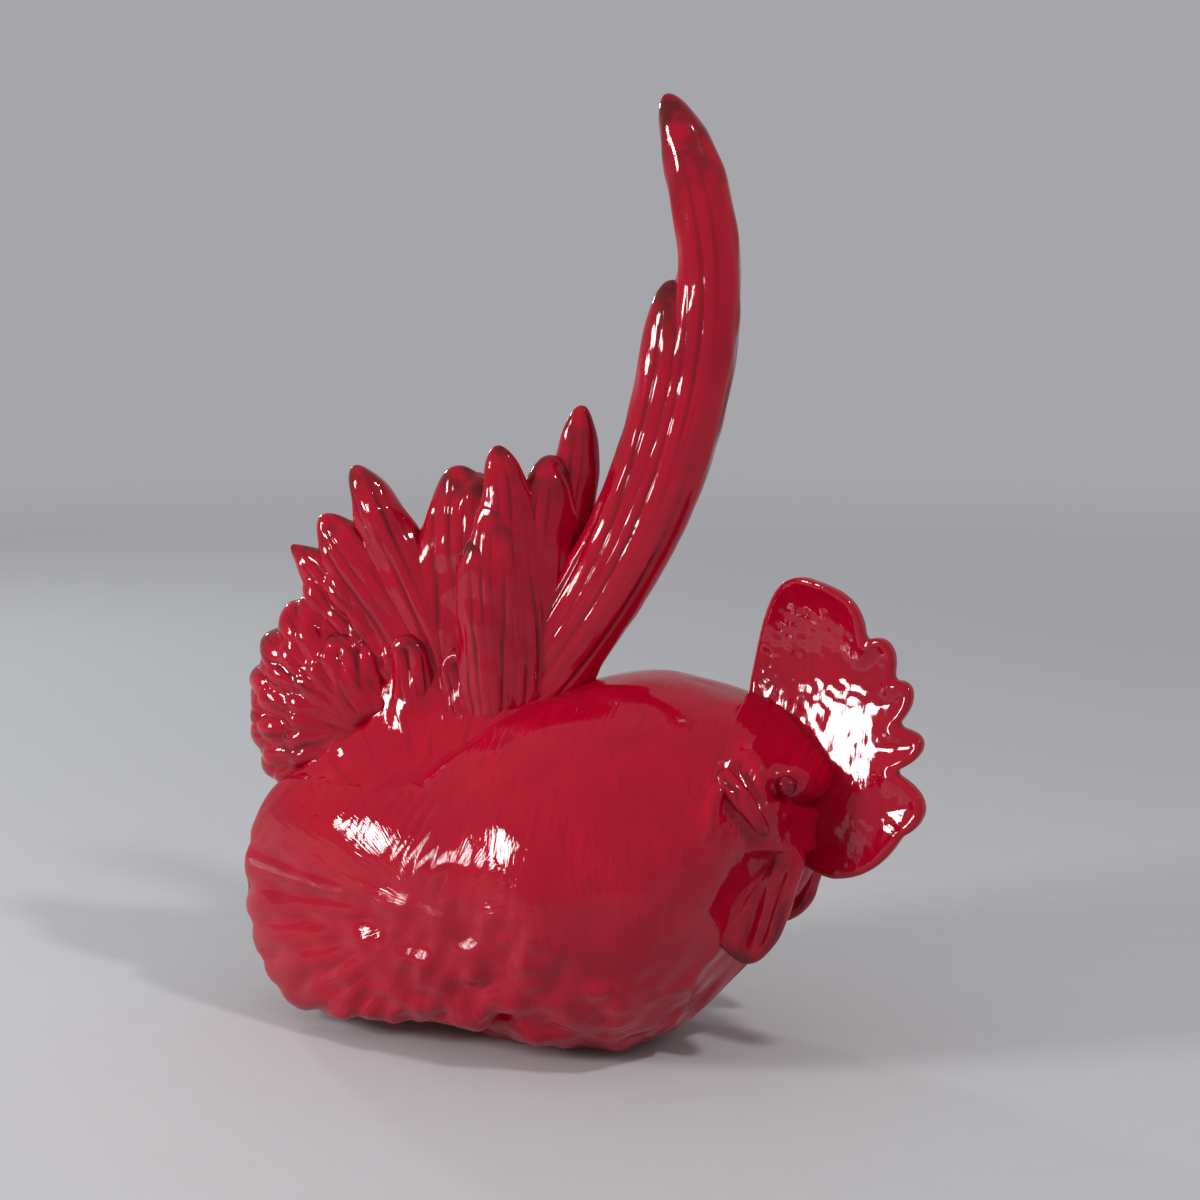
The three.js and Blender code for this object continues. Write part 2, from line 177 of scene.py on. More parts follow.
def guide(table, column, t, closed=False):
    """Smooth value of one column of a table at the share t of the way along it"""
    row = np.asarray(table, float)[:, column]
    count = len(row)
    place = t * count if closed else np.clip(t, 0, 1) * (count - 1)
    i = np.floor(place).astype(int) if closed else np.minimum(place.astype(int), count - 2)
    w = place - i
    around = [(i + k) % count if closed else np.clip(i + k, 0, count - 1) for k in (-1, 0, 1, 2)]
    p0, p1, p2, p3 = (row[k] for k in around)
    v0, v1 = (p2 - p0) / 2, (p3 - p1) / 2
    return (2 * p1 - 2 * p2 + v0 + v1) * w**3 + (3 * p2 - 3 * p1 - 2 * v0 - v1) * w**2 + v0 * w + p1


def gap_to(points, line):
    """Distance of each point from a line of (x, z) places, as seen from the side"""
    return np.sqrt(((points[:, None, [0, 2]] - line[None]) ** 2).sum(axis=2).min(axis=1))


def bezier(*handles):
    """Curve through its first and last handles, as a function of the share along it"""
    order = len(handles) - 1

    def at(t):
        t = np.asarray(t, float)[..., None]
        parts = [math.comb(order, k) * t**k * (1 - t) ** (order - k) * np.array(handles[k], float)
                 for k in range(order + 1)]
        return sum(parts)
    return at


# Body

def body_form(ball):
    """Point of the body's skin for each point of a ball of radius 1 whose poles are on X"""
    t = 0.5 + 0.5 * ball[:, 0]
    x, back, waist, under, half, power = (guide(STATIONS, column, t) for column in range(6))
    round_x = np.maximum(np.hypot(ball[:, 1], ball[:, 2]), 1e-9)
    rise, reach = ball[:, 2] / round_x, ball[:, 1] / round_x
    share = np.where(rise < 0, np.sign(reach) * np.abs(reach) ** power, reach)
    z = waist + rise * np.where(rise > 0, back - waist, waist - under)
    return np.column_stack([x, np.maximum(half, 0) * share, z])


def press(name, segments, rings, turn, form):
    """A ball of clay, pressed into the form that is given for a ball of radius 1"""
    clear()
    bpy.ops.mesh.primitive_uv_sphere_add(segments=segments, ring_count=rings, radius=1, rotation=turn)
    piece = bpy.context.object
    piece.name = piece.data.name = name
    bpy.ops.object.transform_apply(location=True, rotation=True, scale=True)
    set_points(piece, form(points_of(piece) * MM))
    return piece


X_POLES = (0, math.pi / 2, 0)
Y_POLES = (math.pi / 2, 0, 0)

BALL_LINE = np.column_stack([np.linspace(-1, 1, LINE_STEPS), np.zeros(LINE_STEPS), np.ones(LINE_STEPS)])
BACK_LINE = body_form(BALL_LINE)
TAIL_Z = float(np.interp(TAIL_X, BACK_LINE[:, 0], BACK_LINE[:, 2]))


def flank_at(x, z):
    """Distance of the body's skin from the middle plane, below 0 where it has none"""
    t = np.interp(x, BACK_LINE[:, 0], np.linspace(0, 1, LINE_STEPS))
    _, back, waist, under, half, power = (guide(STATIONS, column, t) for column in range(6))
    rise = np.abs((z - waist) / (np.where(z > waist, back, under) - waist))
    inside = np.maximum(1 - rise**2, 0) ** (0.5 * np.where(z > waist, 1, power))
    return half * inside - 30 * np.maximum(rise - 1, 0)


def ridge_along(points, way, wide, height):
    """Ridge or groove on both sides of the head, along a curve through the (x, z) handles"""
    gap = gap_to(points, bezier(*way)(CURVE))
    return height * np.exp(-(gap / wide) ** 2) * ramp(np.abs(points[:, 1]), 2, 8)


# Folds of the head: (x, z) handles of the line, half-width, height over the skin
HEAD_FORMS = [
    ([(98, 128), (103, 127), (108, 124)], 5.5, 3.2),  # swelling of the face, round to the front
    ([(96, 125), (101, 118), (105, 112), (109, 113)], 2.8, -4.6),  # deep crease under it
    ([(91, 125), (93, 122)], 2.4, -3.6),  # hollow behind the eye
    ([(81, 137), (87, 132), (89, 123)], 2.7, 2.8),  # small fold over the cheek
    ([(79, 133), (83, 127), (88, 120)], 2.0, -2.6),  # groove behind that fold
    ([(75, 121), (80, 112), (86, 104)], 2.2, -3.4),  # groove behind the ear
    ([(72, 124), (71, 110)], 2.6, 3.8),  # cheek in front of the neck
    ([(97, 113), (100, 109)], 6.0, -2.2),  # hollow of the cheek
    ([(91, 99), (97, 97), (104, 96)], 3.2, 3.0),  # fold that runs into the comb
    ([(86, 94), (84, 84), (80, 72)], 9.0, -4.5),  # throat behind the wattle
]
HEAD_REAR = 55


def carve_body(points):
    """Height of the marks on flank and breast, and of the folds of the head"""
    relief = carve_flank(np.column_stack([points[:, 0], np.abs(points[:, 1]), points[:, 2]]))
    head = points[:, 0] > HEAD_REAR
    for way, wide, height in HEAD_FORMS:
        relief[head] += ridge_along(points[head], way, wide, height)
    return relief


def hollow_out(piece):
    """Takes out the casting hollow and the vent hole, and leaves foot and inside bare"""
    middle = np.array(HOLLOW_MIDDLE, float)
    cavity = press("cavity_core", 48, 32, X_POLES,
                   lambda ball: (body_form(ball) - middle) * HOLLOW_SHARE + middle)
    clear()
    bpy.ops.mesh.primitive_cylinder_add(
        vertices=48, radius=VENT_RADIUS * MM, depth=VENT_DEPTH * MM, location=(VENT_X * MM, 0, 0))
    vent = bpy.context.object
    bpy.ops.object.transform_apply(location=True, rotation=True, scale=True)
    piece.data.materials.append(crimson_glaze)
    piece.data.materials.append(bisque())
    for core in (cavity, vent):
        apply(piece, "BOOLEAN", operation="DIFFERENCE", solver="EXACT", object=core)
        bpy.data.objects.remove(core)
    centres = np.array([face.center for face in piece.data.polygons]) / MM
    inside = np.abs(centres[:, 1]) < 0.9 * flank_at(centres[:, 0], centres[:, 2])
    ways = np.array([face.normal for face in piece.data.polygons])
    inward = ((centres - middle) * ways).sum(axis=1) < 0
    for face, bare in zip(piece.data.polygons, (inside & inward) | (centres[:, 2] < FOOT_HEIGHT)):
        face.material_index = int(bare)


# Wings

def wing_wall(x):
    """Distance of the wing's outer wall from the middle plane, which tapers to the rear"""
    share = (x - BODY_REAR) / -BODY_REAR
    bulge = WING_BULGE * np.sin(np.pi * np.minimum(1, share))
    return WING_REAR_SPAN + (WING_HALF_SPAN - WING_REAR_SPAN) * share + bulge


WING_POLE = np.array((WING_POLE_X, wing_wall(WING_POLE_X), WING_POLE_Z), float)


def round_pole(x, z):
    """Turn about the wing's pole, and distance from it, as seen from the side"""
    ahead, up = x - WING_POLE[0], z - WING_POLE[2]
    return np.arctan2(up, ahead), np.hypot(ahead, up)


def wing_rim(turn):
    """Rim of the left wing in the direction of each turn about the pole"""
    dense = np.arange(LINE_STEPS) / LINE_STEPS
    rim = np.column_stack([guide(WING_RIM_POINTS, column, dense, True) for column in range(3)])
    lean, _ = round_pole(rim[:, 0], rim[:, 2])
    order = np.argsort(lean)
    return [np.interp(turn, lean[order], rim[order, k], period=2 * math.pi) for k in range(3)]


def wing_height(x, z, turn, level, rim_y):
    """Distance of the wing's outer face from the middle plane: steep at the foot, soft to the breast"""
    up = ramp(np.sin(turn), 0, 0.7)
    ahead = ramp(np.cos(turn), 0, 0.7) * ramp(np.sin(turn), -0.7, 0.1)
    rear = ramp(-np.cos(turn), 0.3, 0.9)
    flat_middle = np.maximum(1 - np.minimum(level, 1) ** (3 + 2 * up + 3 * rear), 0)
    dome = flat_middle ** (0.55 + 0.25 * up + 0.45 * ahead)
    shoulder = np.interp(x, *zip(*WING_SHOULDER))
    inward = np.maximum(z - shoulder, 0) ** 2 / SHOULDER_ROUND
    return rim_y + (wing_wall(x) - inward - rim_y) * dome - 40 * np.maximum(level - 1, 0)


def wing_at(x, z):
    """Height of the wing's outer face over the middle plane at any place beside the body"""
    turn, reach = round_pole(x, z)
    rim_x, rim_y, rim_z = wing_rim(turn)
    return wing_height(x, z, turn, reach / round_pole(rim_x, rim_z)[1], rim_y)


def fillet_at(x, z):
    """Width of the slip fillet between wing and flank: wide at the top and the breast, narrow below"""
    return FILLET_LOW + FILLET_TOP * ramp(z, 45, 90) + FILLET_BREAST * ramp(x, -45, 0) * ramp(z, 30, 60)


def joined(a, b, width):
    """Higher of two heights, rounded over where they cross"""
    near = np.maximum(width - np.abs(a - b), 0) / width
    return np.maximum(a, b) + near**2 * width / 4


def wing_form(ball):
    """Point of the left wing for each point of a ball of radius 1 whose poles are on Y"""
    turn = np.arctan2(ball[:, 2], ball[:, 0])
    level = np.hypot(ball[:, 0], ball[:, 2])
    rim_x, rim_y, rim_z = wing_rim(turn)
    x = WING_POLE[0] + (rim_x - WING_POLE[0]) * level
    z = WING_POLE[2] + (rim_z - WING_POLE[2]) * level
    front, flank = wing_height(x, z, turn, level, rim_y), flank_at(x, z)
    skin = joined(front, flank, fillet_at(x, z)) - 2 * ramp(flank - front, 0, 5)
    skin = np.where(flank > 0.3 * front, skin, front)
    lip = ramp(-ball[:, 1], 0, 0.35)
    back = (rim_y - WING_RIM * lip) * level + 0.4 * WING_POLE[1] * (1 - level)
    return np.column_stack([x, np.where(ball[:, 1] > 0, np.maximum(skin, back), back), z])


def meet_wings(points):
    """Raises the body's skin to the wings where they run out into it"""
    x, y, z = points.T
    wing, flank = wing_at(x, z), np.abs(y)
    skin = joined(wing, flank, fillet_at(x, z))
    near = ramp(wing - flank, 0, 6)
    raised = flank + (skin - flank) * (1 - near) - 1.2 * near
    return np.column_stack([x, np.sign(y) * (flank + (raised - flank) * ramp(flank, 8, 16)), z])


def strokes(points, spacing, seed):
    """Grooves that fall from the back, leaning forward at the rear and upright at the front"""
    x, _, z = points.T
    lean = 0.1 + 0.8 * ramp(-x, 0, 120)
    sway = lumps(points, 55, seed) + 0.4 * lumps(points, 19, seed + 1)
    wave = 0.5 + 0.5 * np.cos(2 * math.pi * (x - lean * (z - 90)) / spacing + 1.6 * sway)
    return -(wave**2.5) * (0.6 + 0.4 * lumps(points * (1, 0.3, 0.25), 10, seed + 2))


VALLEY = [(-66, 2), (-44, 14), (-30, 34), (-14, 50)]


def carve_flank(points):
    """Marks that run over body and wing alike, so that the wing has no edge at back and breast"""
    x, y, z = points.T
    side = ramp(np.abs(y), 12, 34)
    off_shoulder = -np.abs(z - SHOULDER_Z)
    coarse = ramp(off_shoulder, -34, -12) * ramp(-x, -40, 10) * side
    fine = ramp(off_shoulder, -60, -20) * ramp(x, -30, 10) * side
    relief = STROKE_DEPTH * strokes(points, STROKE_SPACING, 17) * coarse
    relief += FINE_STROKE_DEPTH * strokes(points, FINE_STROKE_SPACING, 5) * fine
    relief += 0.5 * lumps(points, 42, 15) + 0.22 * lumps(points, 16, 2)
    # Breast and belly are pressed by hand
    breast = ramp(x, -50, -5) * ramp(-z, -66, -40)
    belly = ramp(-np.abs(x + 45), -75, -35) * ramp(-z, -86, -62)
    squeezed = points * (1, 0.7, 1)
    pressed = PRESSED_DEPTH * lumps(squeezed, 20, 13) + 0.75 * lumps(squeezed, 10, 14)
    relief += np.maximum(breast, belly) * side * pressed
    # One deep valley runs from the foot up to the breast
    valley = np.exp(-(gap_to(points, bezier(*VALLEY)(CURVE)) / VALLEY_WIDTH) ** 2)
    return relief - VALLEY_DEPTH * valley * side * (0.75 + 0.25 * lumps(points, 14, 18))


def carve_wing(points):
    """Grooves that fan out from the shoulder to the rear and the foot of the wing"""
    x, _, z = points.T
    turn, reach = round_pole(x, z)
    sway = 1.1 * lumps(points, 55, 11) + 0.45 * lumps(points, 22, 12)
    fan = 0.5 + 0.5 * np.cos(WING_RIDGES * 1.5 * turn + sway)
    rear = ramp(-z, -90, -66) * ramp(reach, 26, 66) * (0.3 * ramp(-x, 10, 60) + 0.7 * ramp(-x, 70, 112))
    return carve_flank(points) - WING_GROOVE_DEPTH * fan**2 * rear * (0.7 + 0.3 * lumps(points, 24, 16))


# Feathers

def tail_point(x, z, y=0.0):
    """Place given from the point where the tail stands on the back"""
    return np.array((TAIL_X + x, y, TAIL_Z + z), float)


RUMP_FAN = tail_point(-30, 1)


def swell(t, root, point):
    """Share of the full width along a blade"""
    body = root + (1 - root) * np.sin(np.pi * np.minimum(0.5, 0.1 + 0.75 * t))
    tip = np.maximum(0, (t + point - 1) / point)
    return body * np.maximum(1 - tip**2, 0) ** (0.5 + 0.25 * point)


def bowed(root, tip, bow):
    """Curve from root to tip with its middle bowed toward the head"""
    along = (tip - root) / np.linalg.norm(tip - root)
    middle = (root + tip) / 2 + 2 * bow * np.array((along[2], 0, -along[0]))
    return bezier(root, middle, tip)


def draw_out(name, spine, width, depth, root, point, rings, sides=12):
    """A disc of clay drawn out along the spine, turned and swelled ring by ring"""
    def heading(t, step=0.003):
        way = spine(min(t + step, 1)) - spine(max(t - step, 0))
        return math.atan2(way[0], way[2])

    places = [math.sin(math.pi / 2 * (i + 0.15) / (rings - 0.35)) for i in range(rings)]
    shares = [float(swell(t, root, point)) for t in places]
    # Rounding draws each ring in to this share of its corners
    full = (2 + math.cos(2 * math.pi / sides)) / 3
    clear()
    last, turn = spine(places[0]), heading(places[0])
    bpy.ops.mesh.primitive_circle_add(
        vertices=sides, radius=1, fill_type="NGON", location=last * MM, rotation=(0, turn, 0))
    piece = bpy.context.object
    piece.name = piece.data.name = name
    piece.scale = (width / 2 * shares[0] * MM / full, depth / 2 * shares[0] * MM / full, 1)
    bpy.ops.object.transform_apply(location=True, rotation=True, scale=True)
    bpy.ops.object.mode_set(mode="EDIT")
    bpy.ops.mesh.select_all(action="SELECT")
    for before, here, t in zip(shares, shares[1:], places[1:]):
        place, way = spine(t), heading(t)
        bpy.ops.mesh.extrude_region_move(TRANSFORM_OT_translate={"value": (place - last) * MM})
        bpy.ops.transform.rotate(value=turn - way, orient_axis="Y", center_override=place * MM)
        bpy.ops.transform.resize(value=[here / before] * 3, center_override=place * MM)
        last, turn = place, way
    bpy.ops.mesh.select_all(action="SELECT")
    bpy.ops.mesh.normals_make_consistent(inside=False)
    bpy.ops.object.mode_set(mode="OBJECT")
    return piece


def along_blade(points, spine, width, root, point, steps=160):
    """For each point of a blade: share along it, share across it from -1 to 1, and place across it"""
    t = np.linspace(0, 1, steps)
    centres = spine(t)
    gaps = ((points[:, None, [0, 2]] - centres[None, :, [0, 2]]) ** 2).sum(axis=2)
    nearest = gaps.argmin(axis=1)
    tangent = np.gradient(centres, axis=0)
    tangent /= np.linalg.norm(tangent, axis=1)[:, None]
    side = np.column_stack([tangent[:, 2], np.zeros(steps), -tangent[:, 0]])
    across = ((points - centres[nearest]) * side[nearest]).sum(axis=1)
    half = np.maximum(width / 2 * swell(t[nearest], root, point), 2)
    return t[nearest], across / half, across


def flute(t, across, count, deep, seed):
    """Grooves that run along a blade, wandering a little and fading at both ends"""
    sway = 0.18 * np.sin(5 * t + seed) + 0.08 * np.sin(13 * t + 2.1 * seed)
    wave = 0.5 + 0.5 * np.cos(2 * math.pi * (across * count / 2 + sway))
    strength = 0.55 + 0.45 * np.sin(6 * t + 4 * np.round(across * count / 2) + seed)
    return -deep * wave**5 * strength * ramp(t, 0.05, 0.2) * ramp(-t, -0.97, -0.8)


SCALE_ROWS = [(22, 41), (36, 56), (51, 71)]


def scales(points):
    """Three rows of small round feathers over the rump, each row set between the lobes of the next"""
    x, z = points[:, 0] - RUMP_FAN[0], points[:, 2] - RUMP_FAN[2]
    reach, turn = np.hypot(x, z), np.degrees(np.arctan2(z, x)) % 360
    relief = np.zeros(len(points))
    for row, (low, high) in enumerate(SCALE_ROWS):
        along = (reach - low) / (high - low)
        across = ((turn / SCALE_TURN + 0.5 * row) % 1 - 0.5) * 2
        inside = (along > 0) & (along < 1)
        inset = 1 - np.hypot(across, np.maximum(along - 0.45, 0) / 0.55)
        puff = np.sqrt(np.clip(inset / 0.8, 0, 1)) * np.maximum(along, 0) ** 0.6
        lobe = SCALE_HEIGHT * puff * ramp(reach, 15, 40)
        relief = np.where(inside, np.maximum(relief, lobe), relief)
    return relief - SCALE_SUNK * ramp(reach, 25, 45)


# Tail mound

def top_under(x, y, trees, sky=300, no_ground=60.0):
    """Height of the highest surface under a place, seen from above"""
    hits = [tree.ray_cast((x, y, sky), (0, 0, -1))[0] for tree, _, _ in trees]
    return max((hit[2] for hit in hits if hit is not None), default=no_ground)


def mound_form(ball, carriers):
    """A bell of clay that flares out from the feathers onto back and wings, with no edge of its own"""
    x, y = MOUND_X + MOUND_HALF_LENGTH * ball[:, 0], MOUND_HALF_WIDTH * ball[:, 1]
    ground = np.array([top_under(*place, carriers) for place in zip(x, y)])
    out = np.where(ball[:, 2] > 0, np.hypot(ball[:, 0], ball[:, 1]), 1)
    rise = MOUND_HEIGHT * (1 - out) ** 2 + MOUND_SKIRT * np.minimum(ball[:, 2], 0)
    return np.column_stack([x, y, ground + rise - MOUND_SUNK])


# Comb

def comb_outline():
    """Points round the comb, from the nape over the crown and down the lobes to the throat"""
    def fan(degrees, reach):
        lean = math.radians(degrees)
        return (COMB_X + reach * math.cos(lean), COMB_Z + reach * math.sin(lean))

    def off(x, z):
        return (COMB_X + x, COMB_Z + z)

    notch = fan(LOBE_START + 1, COMB_NOTCH - 2)
    curves = [
        [off(-25, -20), off(-32, 10)],
        [off(-32, 10), off(-31, 40), off(-22, 66), off(-3, 66)],
        [off(-3, 66), off(16, 63), (notch[0] - 1, notch[1] + 18), notch],
    ]
    for i, (tip, valley) in enumerate(LOBES):
        start, lean = curves[-1][-1], LOBE_START - LOBE_STEP * i
        end = fan(lean - LOBE_STEP, COMB_NOTCH + valley)
        crown = COMB_REACH + tip
        rising, falling = fan(lean - 0.1 * LOBE_STEP, crown), fan(lean - 0.62 * LOBE_STEP, crown)
        curves.append([start, rising, falling, end])
    curves.append([curves[-1][-1], off(40, -52), off(18, -55)])
    curves.append([off(18, -55), off(6, -54), off(-10, -44)])
    points = []
    for curve in curves:
        points.extend(bezier(*curve)(np.arange(12) / 12).tolist())
    return np.array(points)


def make_comb():
    """A slab cut to the outline and thickened, with its rim rounded, and the outline it was cut to"""
    outline = comb_outline()
    clear()
    bpy.ops.mesh.primitive_circle_add(
        vertices=len(outline), radius=1, fill_type="NGON", rotation=(math.pi / 2, 0, 0))
    piece = bpy.context.object
    piece.name = piece.data.name = "comb_glazed"
    bpy.ops.object.transform_apply(location=True, rotation=True, scale=True)
    right_face = np.full(len(outline), -COMB_THICKNESS / 2)
    set_points(piece, np.column_stack([outline[:, 0], right_face, outline[:, 1]]))
    bpy.ops.object.mode_set(mode="EDIT")
    bpy.ops.mesh.select_all(action="SELECT")
    bpy.ops.mesh.extrude_region_move(TRANSFORM_OT_translate={"value": (0, COMB_THICKNESS * MM, 0)})
    bpy.ops.mesh.select_all(action="SELECT")
    bpy.ops.mesh.normals_make_consistent(inside=False)
    bpy.ops.object.mode_set(mode="OBJECT")
    apply(piece, "REMESH", mode="VOXEL", voxel_size=1.1 * MM)
    apply(piece, "SMOOTH", factor=0.5, iterations=14)
    return piece, outline


def carve_comb(points, normals, outline):
    """Thins the plate toward its rolled rim, and beats a dish, dimples and lobe seams into it"""
    x, y, z = points.T
    closed = np.vstack([outline, outline[:1]])
    quarters = np.linspace(0, 1, 5)[:-1, None]
    inset = gap_to(points, np.concatenate([a + (b - a) * quarters for a, b in zip(closed, closed[1:])]))
    dish = RIM_ROLL_HEIGHT * np.exp(-((inset - 2.4) / 1.5) ** 2) - DISH_DEPTH * ramp(inset, 1.5, 13)
    # The middle of the lobes is smoothed, so that it mirrors in one patch
    calm = np.exp(-((x - COMB_X - 26) / 24) ** 2 - ((z - COMB_Z + 2) / 32) ** 2)
    upright = points * (1, 0.3, 1)
    beaten = (0.15 - 0.11 * calm) * lumps(upright, 9, 21)
    beaten += (0.10 - 0.05 * calm) * lumps(upright, 4.5, 22)
    turn = np.degrees(np.arctan2(z - COMB_Z, x - COMB_X))
    reach = np.hypot(x - COMB_X, z - COMB_Z)
    lobes = (turn > LOBE_START - COMB_LOBES * LOBE_STEP) & (turn < LOBE_START + 2)
    seams = np.cos(np.radians((turn - LOBE_START) * 360 / LOBE_STEP)) ** 9 * ramp(reach, 42, 54) * lobes
    right_face = -COMB_THICKNESS / 2
    thinned = right_face + (y - right_face) * (RIM_THINNED + (1 - RIM_THINNED) * ramp(inset, 0, 14))
    carved = np.abs(normals[:, 1]) * (dish + beaten - SEAM_DEPTH * np.maximum(seams, 0))
    return np.column_stack([x, thinned, z]) + normals * carved[:, None]


def turn_comb(points):
    """Cups the comb and turns it about the head's own upright line, lobes to the right"""
    lean = math.radians(COMB_TURN)
    x, y, z = points.T
    cup = CUP_DEPTH * np.sin(2 * math.pi * (z - COMB_Z) / CUP_LENGTH) - CUP_SHIFT
    cup -= COMB_SLANT * (x - BODY_FRONT) - COMB_BOW * (x - BODY_FRONT - 10) ** 2
    ahead, aside = x - COMB_X, y + cup
    turned_x = COMB_X + ahead * math.cos(lean) + aside * math.sin(lean)
    return np.column_stack([turned_x, aside * math.cos(lean) - ahead * math.sin(lean), z])


# Eyes

def make_eye(side, sign):
    """A bead with a lid over it"""
    middle = np.array((EYE_X, sign * (flank_at(EYE_X, EYE_Z) + EYE_PROUD), EYE_Z)) * MM
    clear()
    bpy.ops.mesh.primitive_uv_sphere_add(
        segments=32, ring_count=16, radius=EYE_RADIUS * MM,
        location=middle, rotation=(-sign * math.pi / 2, 0, 0))
    piece = bpy.context.object
    piece.name = piece.data.name = f"eye_{side}_glazed"
    bpy.ops.object.transform_apply(location=True, rotation=True, scale=True)
    for part in (*piece.data.vertices, *piece.data.edges, *piece.data.polygons):
        part.select = False
    for corner in piece.data.vertices:
        corner.select = corner.co.z > (EYE_Z + 1) * MM
    bpy.ops.object.mode_set(mode="EDIT")
    bpy.ops.transform.resize(value=EYE_LID, center_override=middle)
    bpy.ops.object.mode_set(mode="OBJECT")
    smooth(piece, 1)
    return piece


# Slip joints

def tree_of(piece):
    """The piece's skin for finding what is near it, with the least and greatest corner of its box"""
    corners = points_of(piece)
    faces = [tuple(face.vertices) for face in piece.data.polygons]
    return BVHTree.FromPolygons(corners.tolist(), faces), corners.min(axis=0), corners.max(axis=0)


def weld(piece, neighbours, reach):
    """Draws the skin out where it nears a neighbour, as slip smoothed into the joint does"""
    points, normals = points_of(piece), normals_of(piece)
    gap = np.full(len(points), float(reach))
    for tree, low, high in neighbours:
        close = np.all((points > low - reach) & (points < high + reach), axis=1)
        for i in np.nonzero(close)[0]:
            distance = tree.find_nearest(points[i], gap[i])[3]
            if distance is not None:
                gap[i] = distance
    set_points(piece, points + normals * ((reach - gap) ** 2 / (4 * reach))[:, None])
    put(piece, "joint", 1 - gap / reach)


def put(piece, name, values):
    """Writes one number for each vertex, for the glaze to read"""
    layer = piece.data.attributes.get(name) or piece.data.attributes.new(name, "FLOAT", "POINT")
    layer.data.foreach_set("value", np.asarray(values, np.float32))


def read(piece, name):
    """The numbers that put wrote, or zeros where it wrote none"""
    values = np.zeros(len(piece.data.vertices), np.float32)
    if name in piece.data.attributes:
        piece.data.attributes[name].data.foreach_get("value", values)
    return values


def put_grain(piece, across, along):
    """Writes how the brush and tool marks run on the piece, in millimetres"""
    layer = piece.data.attributes.new("grain", "FLOAT_VECTOR", "POINT")
    flow = np.column_stack([across, 0.12 * along, np.full(len(across), hash_of(piece.name))])
    layer.data.foreach_set("vector", flow.astype(np.float32).ravel())


def hash_of(name):
    """A number made from the name, so that pieces alike in shape carry different marks"""
    return sum(ord(letter) * (i + 3) for i, letter in enumerate(name)) % 97


def finish_skin(piece):
    """Marks where the skin bulges or sinks sharply, because the glaze runs thin or pools there"""
    points, normals = points_of(piece), normals_of(piece)
    ends = np.empty(len(piece.data.edges) * 2, np.int32)
    piece.data.edges.foreach_get("vertices", ends)
    a, b = ends.reshape(-1, 2).T
    count = len(points)
    links = np.maximum(np.bincount(a, minlength=count) + np.bincount(b, minlength=count), 1)

    def around(values):
        return (np.bincount(a, values[b], count) + np.bincount(b, values[a], count)) / links

    length = np.linalg.norm(points[a] - points[b], axis=1)
    spacing = (np.bincount(a, length, count) + np.bincount(b, length, count)) / links
    mean = np.column_stack([around(points[:, k]) for k in range(3)])
    bulge = 2 * ((points - mean) * normals).sum(axis=1) / spacing**2
    for _ in range(6):
        bulge = 0.5 * bulge + 0.5 * around(bulge)
    put(piece, "thin", ramp(bulge, 0.16, 0.42))
    deep = np.maximum(0.25 * ramp(read(piece, "joint"), 0.75, 1), 0.9 * read(piece, "groove"))
    put(piece, "pool", np.maximum(ramp(-bulge, 0.05, 0.35), deep))
    piece.data.shade_smooth()


# Glaze

def linear(code):
    """Linear colour of an sRGB hex value"""
    parts = [int(code[i:i + 2], 16) / 255 for i in (0, 2, 4)]
    return [p / 12.92 if p <= 0.04045 else ((p + 0.055) / 1.055) ** 2.4 for p in parts] + [1.0]


# A colour mix takes its two colours at these inputs and gives the mixed one at this output
FIRST, SECOND, MIXED = 6, 7, 2


def add(tree, kind, settings=None, **links):
    """One node with its settings, and links by input name (a space written as _) or by _ and number"""
    node = tree.nodes.new(kind)
    for name, value in (settings or {}).items():
        if isinstance(name, str) and hasattr(node, name):
            setattr(node, name, value)
        else:
            node.inputs[name].default_value = value
    for name, source in links.items():
        key = int(name[1:]) if name[1:].isdigit() else name.replace("_", " ")
        tree.links.new(source, node.inputs[key])
    return node


def new_material(name):
    """An empty material and its node tree"""
    material = bpy.data.materials.new(name)
    material.use_nodes = True
    material.node_tree.nodes.clear()
    return material, material.node_tree


